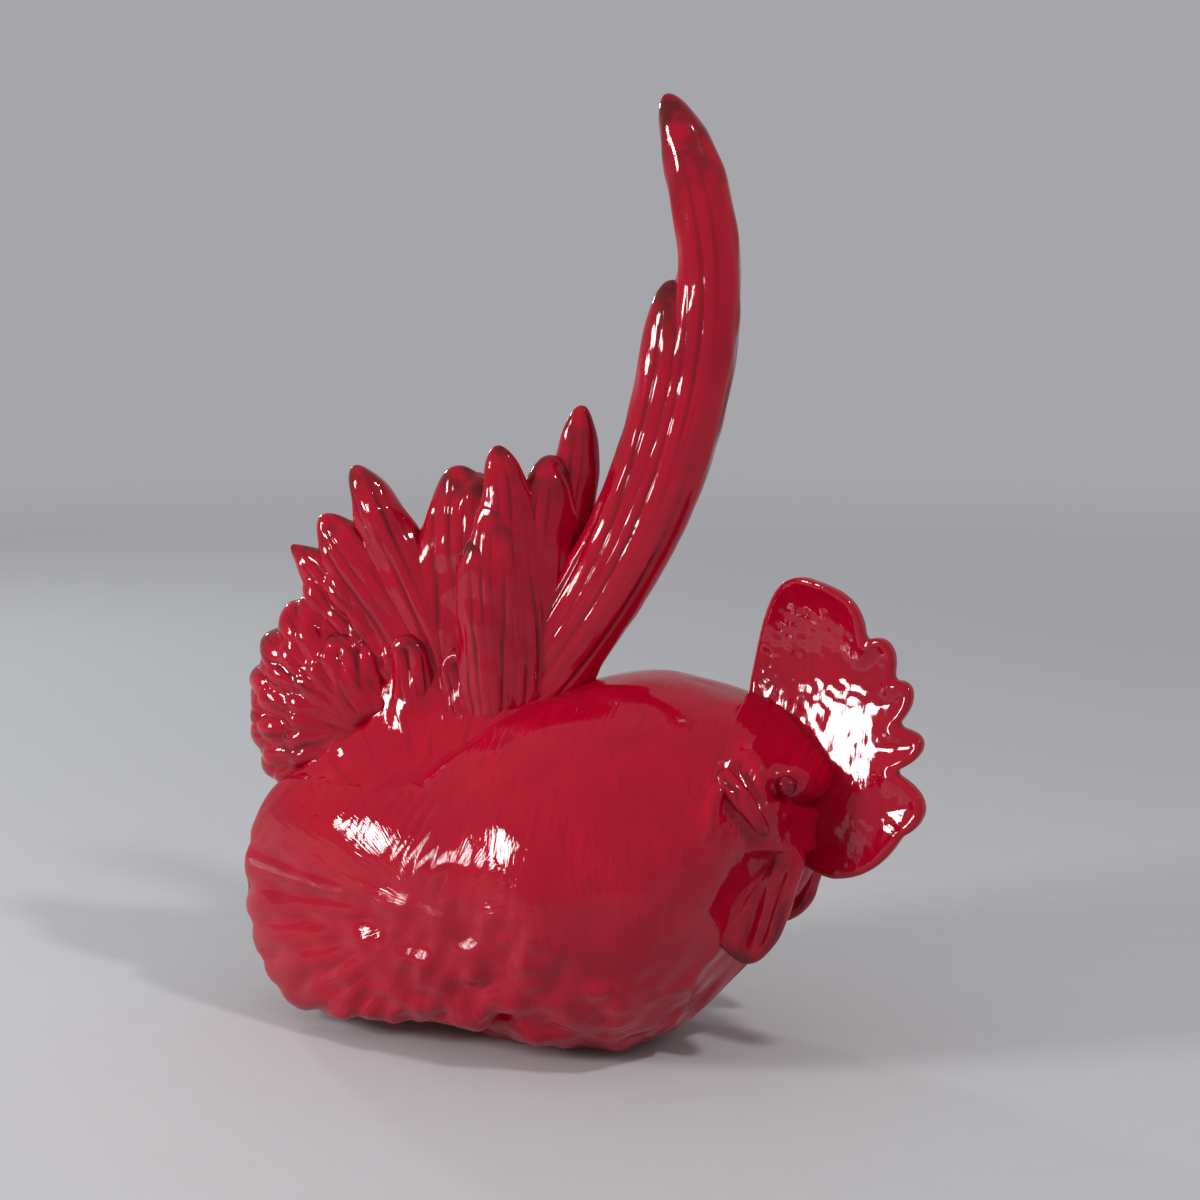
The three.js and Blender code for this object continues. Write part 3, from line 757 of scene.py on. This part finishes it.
def glaze(name, body, thin, pool, grain, dimples):
    """Lead-free glossy glaze over earthenware: a deep wet red that runs thin and brown over sharp
    edges, pools darker in creases, and keeps faint tool marks under a mirror-bright skin"""
    material, tree = new_material(name)
    place = add(tree, "ShaderNodeTexCoord").outputs["Object"]
    flow = add(tree, "ShaderNodeAttribute", {"attribute_name": "grain"}).outputs["Vector"]
    edge, crease, tip = (add(tree, "ShaderNodeAttribute", {"attribute_name": mark}).outputs["Fac"]
                         for mark in ("thin", "pool", "tip"))
    # Clouding of the colour about 30 mm across, as a sprayed glaze has
    cloud = add(tree, "ShaderNodeTexNoise", {"Scale": 34, "Detail": 3}, Vector=place).outputs["Fac"]
    streak = add(tree, "ShaderNodeTexNoise", {"Scale": 0.45, "Detail": 2}, Vector=flow).outputs["Fac"]
    clouded = add(tree, "ShaderNodeMapRange", {"From Min": 0.35, "From Max": 0.75, "To Max": 0.32},
                  Value=cloud)
    brushed = add(tree, "ShaderNodeMapRange", {"From Min": 0.5, "From Max": 0.7, "To Max": 0.3},
                  Value=streak)
    uneven = add(tree, "ShaderNodeMath", {"operation": "MAXIMUM"},
                 _0=clouded.outputs[0], _1=brushed.outputs[0])
    colours = {"data_type": "RGBA", FIRST: linear(body), SECOND: linear(pool)}
    colour = add(tree, "ShaderNodeMix", colours, _0=uneven.outputs[0])
    # It pools in creases and grooves, more where the brush left more
    laid = add(tree, "ShaderNodeMapRange", {"From Min": 0.3, "From Max": 0.6, "To Min": 0.5},
               Value=streak)
    darker = add(tree, "ShaderNodeMath", {"operation": "MULTIPLY"}, _0=crease, _1=laid.outputs[0])
    pooled = add(tree, "ShaderNodeMix", {"data_type": "RGBA", SECOND: linear(pool)},
                 _0=darker.outputs[0], _6=colour.outputs[MIXED])
    # It breaks to brown in patches, not all along an edge
    patch = add(tree, "ShaderNodeTexNoise", {"Scale": 90, "Detail": 2}, Vector=place).outputs["Fac"]
    worn = add(tree, "ShaderNodeMath", {"operation": "MAXIMUM"}, _0=edge, _1=tip)
    patchy = add(tree, "ShaderNodeMapRange", {"From Min": 0.38, "From Max": 0.6, "To Max": 0.8},
                 Value=patch)
    broken = add(tree, "ShaderNodeMath", {"operation": "MULTIPLY"},
                 _0=worn.outputs[0], _1=patchy.outputs[0])
    edged = add(tree, "ShaderNodeMix", {"data_type": "RGBA", SECOND: linear(thin)},
                _0=broken.outputs[0], _6=pooled.outputs[MIXED])
    # Tool marks 2 mm apart along the form, and a faint orange peel
    marks = add(tree, "ShaderNodeBump", {"Strength": grain, "Distance": 0.0006}, Height=streak)
    peel = add(tree, "ShaderNodeTexNoise", {"Scale": 260, "Detail": 1}, Vector=place).outputs["Fac"]
    skin = add(tree, "ShaderNodeBump", {"Strength": dimples, "Distance": 0.0004},
               Height=peel, Normal=marks.outputs[0])
    gloss = add(tree, "ShaderNodeMapRange", {"To Min": 0.035, "To Max": 0.085}, Value=patch).outputs[0]
    shader = add(tree, "ShaderNodeBsdfPrincipled", {"IOR": 1.42, "Metallic": 0.0},
                 Base_Color=edged.outputs[MIXED], Roughness=gloss, Normal=skin.outputs[0])
    add(tree, "ShaderNodeOutputMaterial", Surface=shader.outputs[0])
    return material


def bisque():
    """Earthenware fired once and never glazed: pale, dry and a little sandy"""
    material, tree = new_material("bare_earthenware")
    place = add(tree, "ShaderNodeTexCoord").outputs["Object"]
    sand = add(tree, "ShaderNodeTexNoise", {"Scale": 900, "Detail": 3}, Vector=place).outputs["Fac"]
    colours = {"data_type": "RGBA", FIRST: linear("D9BE9C"), SECOND: linear("C29F78")}
    tint = add(tree, "ShaderNodeMix", colours, _0=sand)
    grit = add(tree, "ShaderNodeBump", {"Strength": 0.4, "Distance": 0.0003}, Height=sand)
    shader = add(tree, "ShaderNodeBsdfPrincipled", {"Roughness": 0.85},
                 Base_Color=tint.outputs[MIXED], Normal=grit.outputs[0])
    add(tree, "ShaderNodeOutputMaterial", Surface=shader.outputs[0])
    return material


BROWN_EDGE, DARK_POOL = "3C1410", "5E0113"
crimson_glaze = glaze(
    "crimson_lead_free_glaze", "B40225", BROWN_EDGE, DARK_POOL, grain=0.4, dimples=0.12)
hammered_glaze = glaze(
    "crimson_glaze_on_hammered_clay", "AE0225", BROWN_EDGE, DARK_POOL, grain=0.1, dimples=0.1)
eye_glaze = glaze(
    "deep_crimson_eye_glaze", "8A031E", "2A0F0C", "4C0112", grain=0.0, dimples=0.05)


def settle(piece, node, material):
    """Gives the piece its glaze and puts it in the place of the CAD node of that name"""
    finish_skin(piece)
    if not piece.data.materials:
        piece.data.materials.append(material)
    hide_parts(node)
    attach(piece, "root")


# Shapes of every piece, before they are joined

body = press("body_shell_glazed", 200, 150, X_POLES, body_form)
wing_left = press("wing_left_glazed", 240, 96, Y_POLES, wing_form)
wing_right = mirrored(wing_left, "wing_right_glazed")
carriers = [tree_of(piece) for piece in (body, wing_left, wing_right)]
mound = press("tail_mound_glazed", 128, 64, X_POLES, lambda ball: mound_form(ball, carriers))
blades = {}


def feather(node, spine, width, depth, count, deep, root=0.5, point=0.15, rings=9):
    """One blade along its spine, kept for the carving of count grooves, deep millimetres each"""
    piece = draw_out(f"{node}_glazed", spine, width, depth, root, point, rings)
    smooth(piece, 2)
    blades[node] = dict(piece=piece, count=count, deep=deep,
                        shape=dict(spine=spine, width=width, root=root, point=point))


# Sickles: handles of the spine, width and depth, rings and grooves
long_way = [(22, -8), (86, 0.24 * SICKLE_HEIGHT), (149, 0.62 * SICKLE_HEIGHT), (96, SICKLE_HEIGHT)]
short_way = [(14, -6), (60, 54), (103, 128), (98, 0.72 * SICKLE_HEIGHT)]
for node, way, width, depth, rings, count in [
    ("sickle_long", long_way, 26, 24, 22, 4), ("sickle_short", short_way, 23, 21, 16, 3),
]:
    spine = bezier(*[tail_point(*place) for place in way])
    feather(node, spine, width, depth, rings=rings, count=count, deep=0.9)

# Plumes: root, tip, bow toward the head, width, and share of the length that the point takes
for number, (root, tip, bow, width, point) in enumerate([
    ((30, 0), (46, 121), 3, 22, 0.2),
    ((22, 0), (15, 112), 0, 22, 0.2),
    ((8, 0), (5, 116), 0, 36, 0.36),
    ((12, 0), (-43, 115), 3, 22, 0.24),
    ((6, 0), (-59, 92), 4, 25, 0.3),
    ((0, -2), (-74, 79), 3, 26, 0.4),
], 1):
    spine = bowed(tail_point(*root), tail_point(*tip), bow)
    feather(f"plume_{number}", spine, width, PLUME_DEPTH, point=point, count=4, deep=0.8)


def rump(node, degrees, reach, y, depth):
    """A short round feather of the fan over the rump, at the distance y from the middle plane"""
    lean = math.radians(degrees)
    tip = RUMP_FAN + np.array((reach * math.cos(lean), y, reach * math.sin(lean)))
    start = np.array((RUMP_FAN[0], y, RUMP_FAN[2]))
    spine = bowed(start + 0.1 * (tip - start), tip, 0)
    feather(node, spine, RUMP_WIDTH, depth, point=0.34, rings=8, count=3, deep=0.3)


for i in range(5):
    rump(f"rump_{i + 1}", RUMP_START + RUMP_STEP * i, RUMP_REACH - 1.5 * i, 0, RUMP_DEPTH)
tallest = {"right": (27, 127), "left": (57, 142)}
for side, sign in SIDES:
    # Coverts: root, tip, bow, how far root and tip stand out beyond the offset, width and depth
    for number, (root, tip, bow, root_out, tip_out, width, depth) in enumerate([
        ((36, 2), tallest[side], 3, -4, -1, 20, 14),
        ((28, 0), (27, 102), 0, -1, 2, 20, 14),
        ((24, 0), (19, 86), 0, 1, 4, 20, 14),
        ((17, -4), (8, 38), 0, 2, 1, 15, 9),
        ((-8, -4), (-14, 42), 0, -1, 1, 15, 9),
    ], 1):
        start = tail_point(*root, sign * (COVERT_OFFSET + root_out))
        tip = tail_point(*tip, sign * (COVERT_OFFSET + tip_out))
        spine = bowed(start, tip, bow)
        feather(f"covert_{side}_{number}", spine, width, depth, point=0.2, rings=10, count=4, deep=0.7)
    for i in range(4):
        degrees, out = SIDE_START + SIDE_STEP * i, sign * (COVERT_OFFSET - 0.5)
        rump(f"covert_{side}_{6 + i}", degrees, 0.64 * RUMP_REACH, out, SIDE_DEPTH)

wattle_top = np.array((BODY_FRONT - 18, WATTLE_SPREAD + 5, HEAD_HEIGHT - 17), float)
wattle_tip = wattle_top + (-0.26 * WATTLE_LENGTH, 4, -0.96 * WATTLE_LENGTH)
ear_way = [(EYE_X - 25, EYE_Z + 7), (EYE_X - 18, EYE_Z - 3), (EYE_X - 7, EYE_Z - 18)]
for side, sign in SIDES:
    flip = np.array((1, sign, 1))
    wattle = bowed(wattle_top * flip, wattle_tip * flip, 2)
    feather(f"wattle_{side}", wattle, WATTLE_WIDTH, WATTLE_DEPTH,
            root=0.85, point=0.4, rings=12, count=2, deep=0.5)
    ear = bezier(*[(x, sign * (flank_at(x, z) - EAR_SUNK), z) for x, z in ear_way])
    feather(f"ear_{side}", ear, EAR_WIDTH, EAR_DEPTH, root=0.4, point=0.4, count=1, deep=0.9)

comb, comb_edge = make_comb()


# Joining, carving and glazing

mound_tree = tree_of(mound)
blade_trees = {node: tree_of(blade["piece"]) for node, blade in blades.items()}

set_points(body, meet_wings(points_of(body)))
weld(mound, list(blade_trees.values()), SLIP_REACH)
tail_trees = {node: tree for node, tree in blade_trees.items() if not node.startswith(HEAD_PIECES)}
for node, blade in blades.items():
    if node.startswith(HEAD_PIECES):
        weld(blade["piece"], carriers[:1], HEAD_SLIP_REACH)
    else:
        others = [tree for other, tree in tail_trees.items() if other != node]
        weld(blade["piece"], [mound_tree, *carriers, *others], SLIP_REACH)

points = points_of(body)
points += normals_of(body) * carve_body(points)[:, None]
points[:, 2] = np.maximum(points[:, 2], 0)
set_points(body, points)
hollow_out(body)
x, _, z = points_of(body).T
put_grain(body, x + 0.45 * z - 0.002 * z**2, z * 2)

for wing, flip in ((wing_left, 1), (wing_right, -1)):
    points = points_of(wing)
    points += normals_of(wing) * carve_wing(points * (1, flip, 1))[:, None]
    points[:, 2] = np.maximum(points[:, 2], FOOT_HEIGHT + 0.1)
    set_points(wing, points)
    turn, reach = round_pole(points[:, 0], points[:, 2])
    put_grain(wing, 70 * turn, reach)

points = points_of(mound)
fan_x, _, fan_z = tail_point(8, -45)
turn = np.arctan2(points[:, 2] - fan_z, points[:, 0] - fan_x)
ridges = 0.5 + 0.5 * np.cos(MOUND_RIDGES * turn + 1.2 * lumps(points, 20, 41))
sunk = MOUND_GROOVE_DEPTH * ridges**2 + 0.4 * lumps(points, 14, 42)
set_points(mound, points - normals_of(mound) * sunk[:, None])
put_grain(mound, 45 * turn, points[:, 2])

for node, blade in blades.items():
    piece = blade["piece"]
    smooth(piece, 1)
    points, normals = points_of(piece), normals_of(piece)
    t, share, across = along_blade(points, **blade["shape"])
    grooves = flute(t, share, blade["count"], blade["deep"], hash_of(node))
    put(piece, "groove", -grooves / blade["deep"])
    put(piece, "tip", ramp(t, 0.82, 0.98))
    sickle = node.startswith("sickle")
    relief = grooves + (0.15 if sickle else 0.35) * lumps(points, 14, 31)
    # The two lower coverts are hollowed toward the tip, as hoods are
    if node.startswith("covert") and node[-1] in "45":
        relief -= HOOD_DEPTH * np.exp(-(share / 0.4) ** 2) * ramp(t, 0.5, 0.75) * ramp(-t, -0.98, -0.9)
    # A wattle is a leaf with a raised border, a hollow in the middle and one more groove beside it
    if node.startswith("wattle"):
        leaf = LEAF_BORDER_HEIGHT * np.exp(-((np.abs(share) - 0.78) / 0.16) ** 2)
        leaf -= LEAF_HOLLOW_DEPTH * np.exp(-(share / 0.36) ** 2)
        leaf -= LEAF_GROOVE_DEPTH * np.exp(-((share + 0.52) / 0.13) ** 2)
        relief += leaf * ramp(t, 0.08, 0.25) * ramp(-t, -0.95, -0.75)
    # Long feathers grow rougher toward their tips
    if node.startswith(("plume", "covert", "sickle")):
        relief += (0.2 if sickle else 0.45) * lumps(points * (1, 1, 0.5), 9, 33) * ramp(t, 0.3, 0.6)
    # Rump, the coverts beside it and the last plume above it
    if node.startswith("rump") or node[-1] in "6789":
        relief += scales(points)
    set_points(piece, points + normals * relief[:, None])
    put_grain(piece, across, t * 100)

points, normals = points_of(comb), normals_of(comb)
set_points(comb, turn_comb(carve_comb(points, normals, comb_edge)))
put_grain(comb, points[:, 0], points[:, 2])

settle(body, "body_shell", crimson_glaze)
settle(mound, "tail_mound", crimson_glaze)
settle(wing_left, "wing_left", crimson_glaze)
settle(wing_right, "wing_right", crimson_glaze)
settle(comb, "comb", hammered_glaze)
for node, blade in blades.items():
    settle(blade["piece"], node, crimson_glaze)
for side, sign in SIDES:
    eye = make_eye(side, sign)
    put_grain(eye, points_of(eye)[:, 0], points_of(eye)[:, 2])
    settle(eye, f"eye_{side}", eye_glaze)


# Floor, light and camera

BACKDROP = "A6A6AA"
AIM = np.array((6.5, 0, 190)) * MM
AZIMUTH, ELEVATION, DISTANCE = math.radians(18), math.radians(10), 1.1
SENSOR_WIDTH, FOCAL_LENGTH = 36, 78.57


def sweep(name, code):
    """Matt painted board that gives way to the backdrop's even colour with distance, so that the ground
    has no edge
    """
    material, tree = new_material(name)
    place = add(tree, "ShaderNodeTexCoord").outputs["Object"]
    speckle = add(tree, "ShaderNodeTexNoise", {"Scale": 60, "Detail": 4}, Vector=place).outputs["Fac"]
    darker = [0.96 * part for part in linear(code)[:3]] + [1]
    colours = {"data_type": "RGBA", FIRST: linear(code), SECOND: darker}
    tint = add(tree, "ShaderNodeMix", colours, _0=speckle)
    board = add(tree, "ShaderNodeBsdfPrincipled", {"Roughness": 0.8}, Base_Color=tint.outputs[MIXED])
    far = add(tree, "ShaderNodeVectorMath", {"operation": "LENGTH"}, Vector=place).outputs["Value"]
    curve = {"From Min": 0.35, "From Max": 2.2, "interpolation_type": "SMOOTHSTEP"}
    rise = add(tree, "ShaderNodeMapRange", curve, Value=far).outputs[0]
    wall = add(tree, "ShaderNodeEmission", {"Color": linear(BACKDROP), "Strength": 1.0})
    both = add(tree, "ShaderNodeMixShader", _0=rise, _1=board.outputs[0], _2=wall.outputs[0])
    add(tree, "ShaderNodeOutputMaterial", Surface=both.outputs[0])
    return material


clear()
bpy.ops.mesh.primitive_plane_add(size=40)
floor = bpy.context.object
floor.name = "studio_floor"
floor.data.materials.append(sweep("pale_matt_sweep", "CACACC"))


def aim(lamp, place):
    """Stands a lamp or camera at the place, turned to the aim"""
    lamp.location = place
    way = AIM - np.array(place)
    tilt, turn = math.atan2(math.hypot(way[0], way[1]), -way[2]), math.atan2(-way[0], way[1])
    lamp.rotation_euler = (tilt, 0, turn)


def softbox(name, way, distance, width, height, watts, tint=(1, 1, 1)):
    """A lamp with a rectangular face in metres, at the distance from the aim"""
    data = bpy.data.lights.new(name, "AREA")
    data.shape, data.size, data.size_y = "RECTANGLE", width, height
    data.energy, data.color = watts, tint
    lamp = bpy.data.objects.new(name, data)
    bpy.context.scene.collection.objects.link(lamp)
    way = np.array(way, float)
    aim(lamp, AIM + way / np.linalg.norm(way) * distance)


PALE_BLUE = (0.88, 0.94, 1.0)
softbox("key_softbox", (-0.76, -0.57, 0.25), 1.3, width=0.26, height=0.34, watts=9.7)
softbox("front_softbox", (0.6, -0.3, 0.74), 1.4, width=0.10, height=0.10, watts=6)
softbox("rim_softbox", (-0.75, 0.6, 0.28), 1.4, width=0.10, height=0.10, watts=2.5, tint=PALE_BLUE)

world = bpy.data.worlds.new("pale_room")
world.use_nodes = True
bpy.context.scene.world = world
tree = world.node_tree
tree.nodes.clear()
rays = add(tree, "ShaderNodeLightPath")
bounced = add(tree, "ShaderNodeMath", {"operation": "MAXIMUM"},
              _0=rays.outputs["Is Glossy Ray"], _1=rays.outputs["Is Transmission Ray"])
seen = add(tree, "ShaderNodeMath", {"operation": "MAXIMUM"},
           _0=rays.outputs["Is Camera Ray"], _1=bounced.outputs[0])
room = add(tree, "ShaderNodeBackground", {"Color": linear("C8C8CA"), "Strength": 0.7})
backdrop = add(tree, "ShaderNodeBackground", {"Color": linear(BACKDROP), "Strength": 1.0})
mixed = add(tree, "ShaderNodeMixShader", _0=seen.outputs[0], _1=room.outputs[0], _2=backdrop.outputs[0])
add(tree, "ShaderNodeOutputWorld", Surface=mixed.outputs[0])

camera = bpy.data.objects.new("camera", bpy.data.cameras.new("camera"))
bpy.context.scene.collection.objects.link(camera)
camera.data.sensor_width, camera.data.lens = SENSOR_WIDTH, FOCAL_LENGTH
level = math.cos(ELEVATION)
back = np.array((math.sin(AZIMUTH) * level, -math.cos(AZIMUTH) * level, math.sin(ELEVATION)))
aim(camera, AIM + DISTANCE * back)
bpy.context.scene.camera = camera
bpy.context.scene.view_settings.view_transform = "Standard"
